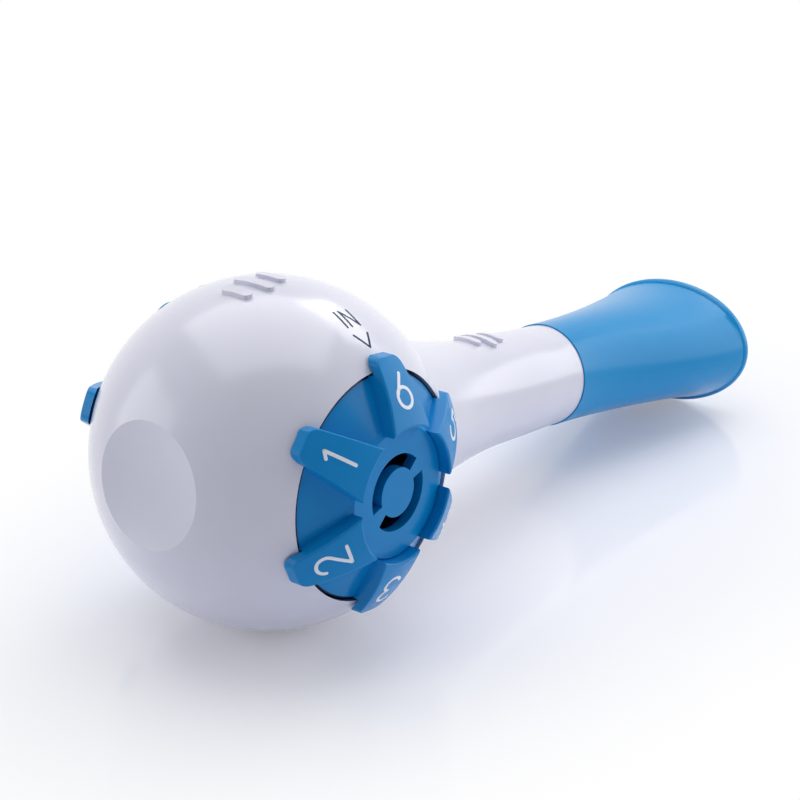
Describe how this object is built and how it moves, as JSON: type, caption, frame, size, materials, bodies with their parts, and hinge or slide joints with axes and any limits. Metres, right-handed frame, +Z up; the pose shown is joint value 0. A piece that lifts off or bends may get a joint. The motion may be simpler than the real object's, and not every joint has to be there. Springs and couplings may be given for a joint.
{
  "type": "breathing trainer",
  "caption": "Handheld breathing trainer: hollow ball with two numbered resistance dials, a flared neck and a pull-off oval mouthpiece.",
  "frame": {"origin": "on the table, below the middle of the whole trainer's bounding box", "axes": "+X from the ball towards the mouthpiece, +Z up, the inhale dial faces -Y and the exhale dial faces +Y"},
  "size_m": [0.177, 0.0634, 0.0647],
  "materials": {
    "white_shell": "glossy moulded white",
    "blue_plastic": "glossy moulded blue",
    "inner_plastic": "as moulded, pale grey",
    "dark_disc": "as moulded, dark navy",
    "seal_rubber": "smooth black seal",
    "flap_silicone": "soft translucent silicone",
    "washer_nylon": "natural nylon",
    "screw_steel": "zinc-plated steel",
    "pin_steel": "stainless steel"
  },
  "bodies": {
    "trainer_body": {"ball_shell": "white_shell", "neck_tube": "white_shell", "neck_seal": "seal_rubber", "mouthpiece_seal": "seal_rubber", "inhale_seat_plate": "inner_plastic", "inhale_window_gasket": "seal_rubber", "inhale_detent_ball": "pin_steel", "inhale_detent_spring": "pin_steel", "inhale_thrust_washer": "washer_nylon", "inhale_valve_cage": "inner_plastic", "inhale_flap_pin": "pin_steel", "exhale_seat_plate": "inner_plastic", "exhale_window_gasket": "seal_rubber", "exhale_detent_ball": "pin_steel", "exhale_detent_spring": "pin_steel", "exhale_thrust_washer": "washer_nylon", "exhale_valve_cage": "inner_plastic", "exhale_flap_pin": "pin_steel"},
    "mouthpiece_sleeve": {"mouthpiece": "blue_plastic"},
    "inhale_knob": {"inhale_dial": "blue_plastic", "inhale_metering_disc": "dark_disc", "inhale_axle_screw": "screw_steel"},
    "inhale_valve": {"inhale_valve_flap": "flap_silicone"},
    "exhale_knob": {"exhale_dial": "blue_plastic", "exhale_metering_disc": "dark_disc", "exhale_axle_screw": "screw_steel"},
    "exhale_valve": {"exhale_valve_flap": "flap_silicone"}
  },
  "joints": [
    {"name": "mouthpiece_pull", "type": "slide", "parent": "trainer_body", "child": "mouthpiece_sleeve", "axis": [0.9924, 0, -0.1228], "range_m": [0, 0.022]},
    {"name": "inhale_dial_turn", "type": "hinge", "parent": "trainer_body", "child": "inhale_knob", "pos_m": [-0.0574, -0.024, 0.032], "axis": [0, -1, 0], "continuous": true},
    {"name": "inhale_flap_swing", "type": "hinge", "parent": "trainer_body", "child": "inhale_valve", "pos_m": [-0.05571, -0.012, 0.0456], "axis": [0.9924, 0, -0.1228], "range_deg": [0, 30], "stiffness_Nm_per_rad": 0.00001, "springref_deg": -8.59},
    {"name": "exhale_dial_turn", "type": "hinge", "parent": "trainer_body", "child": "exhale_knob", "pos_m": [-0.0574, 0.024, 0.032], "axis": [0, 1, 0], "continuous": true},
    {"name": "exhale_flap_swing", "type": "hinge", "parent": "trainer_body", "child": "exhale_valve", "pos_m": [-0.05571, 0.008, 0.0456], "axis": [0.9924, 0, -0.1228], "range_deg": [0, 30], "stiffness_Nm_per_rad": 0.00001, "springref_deg": -8.59}
  ]
}
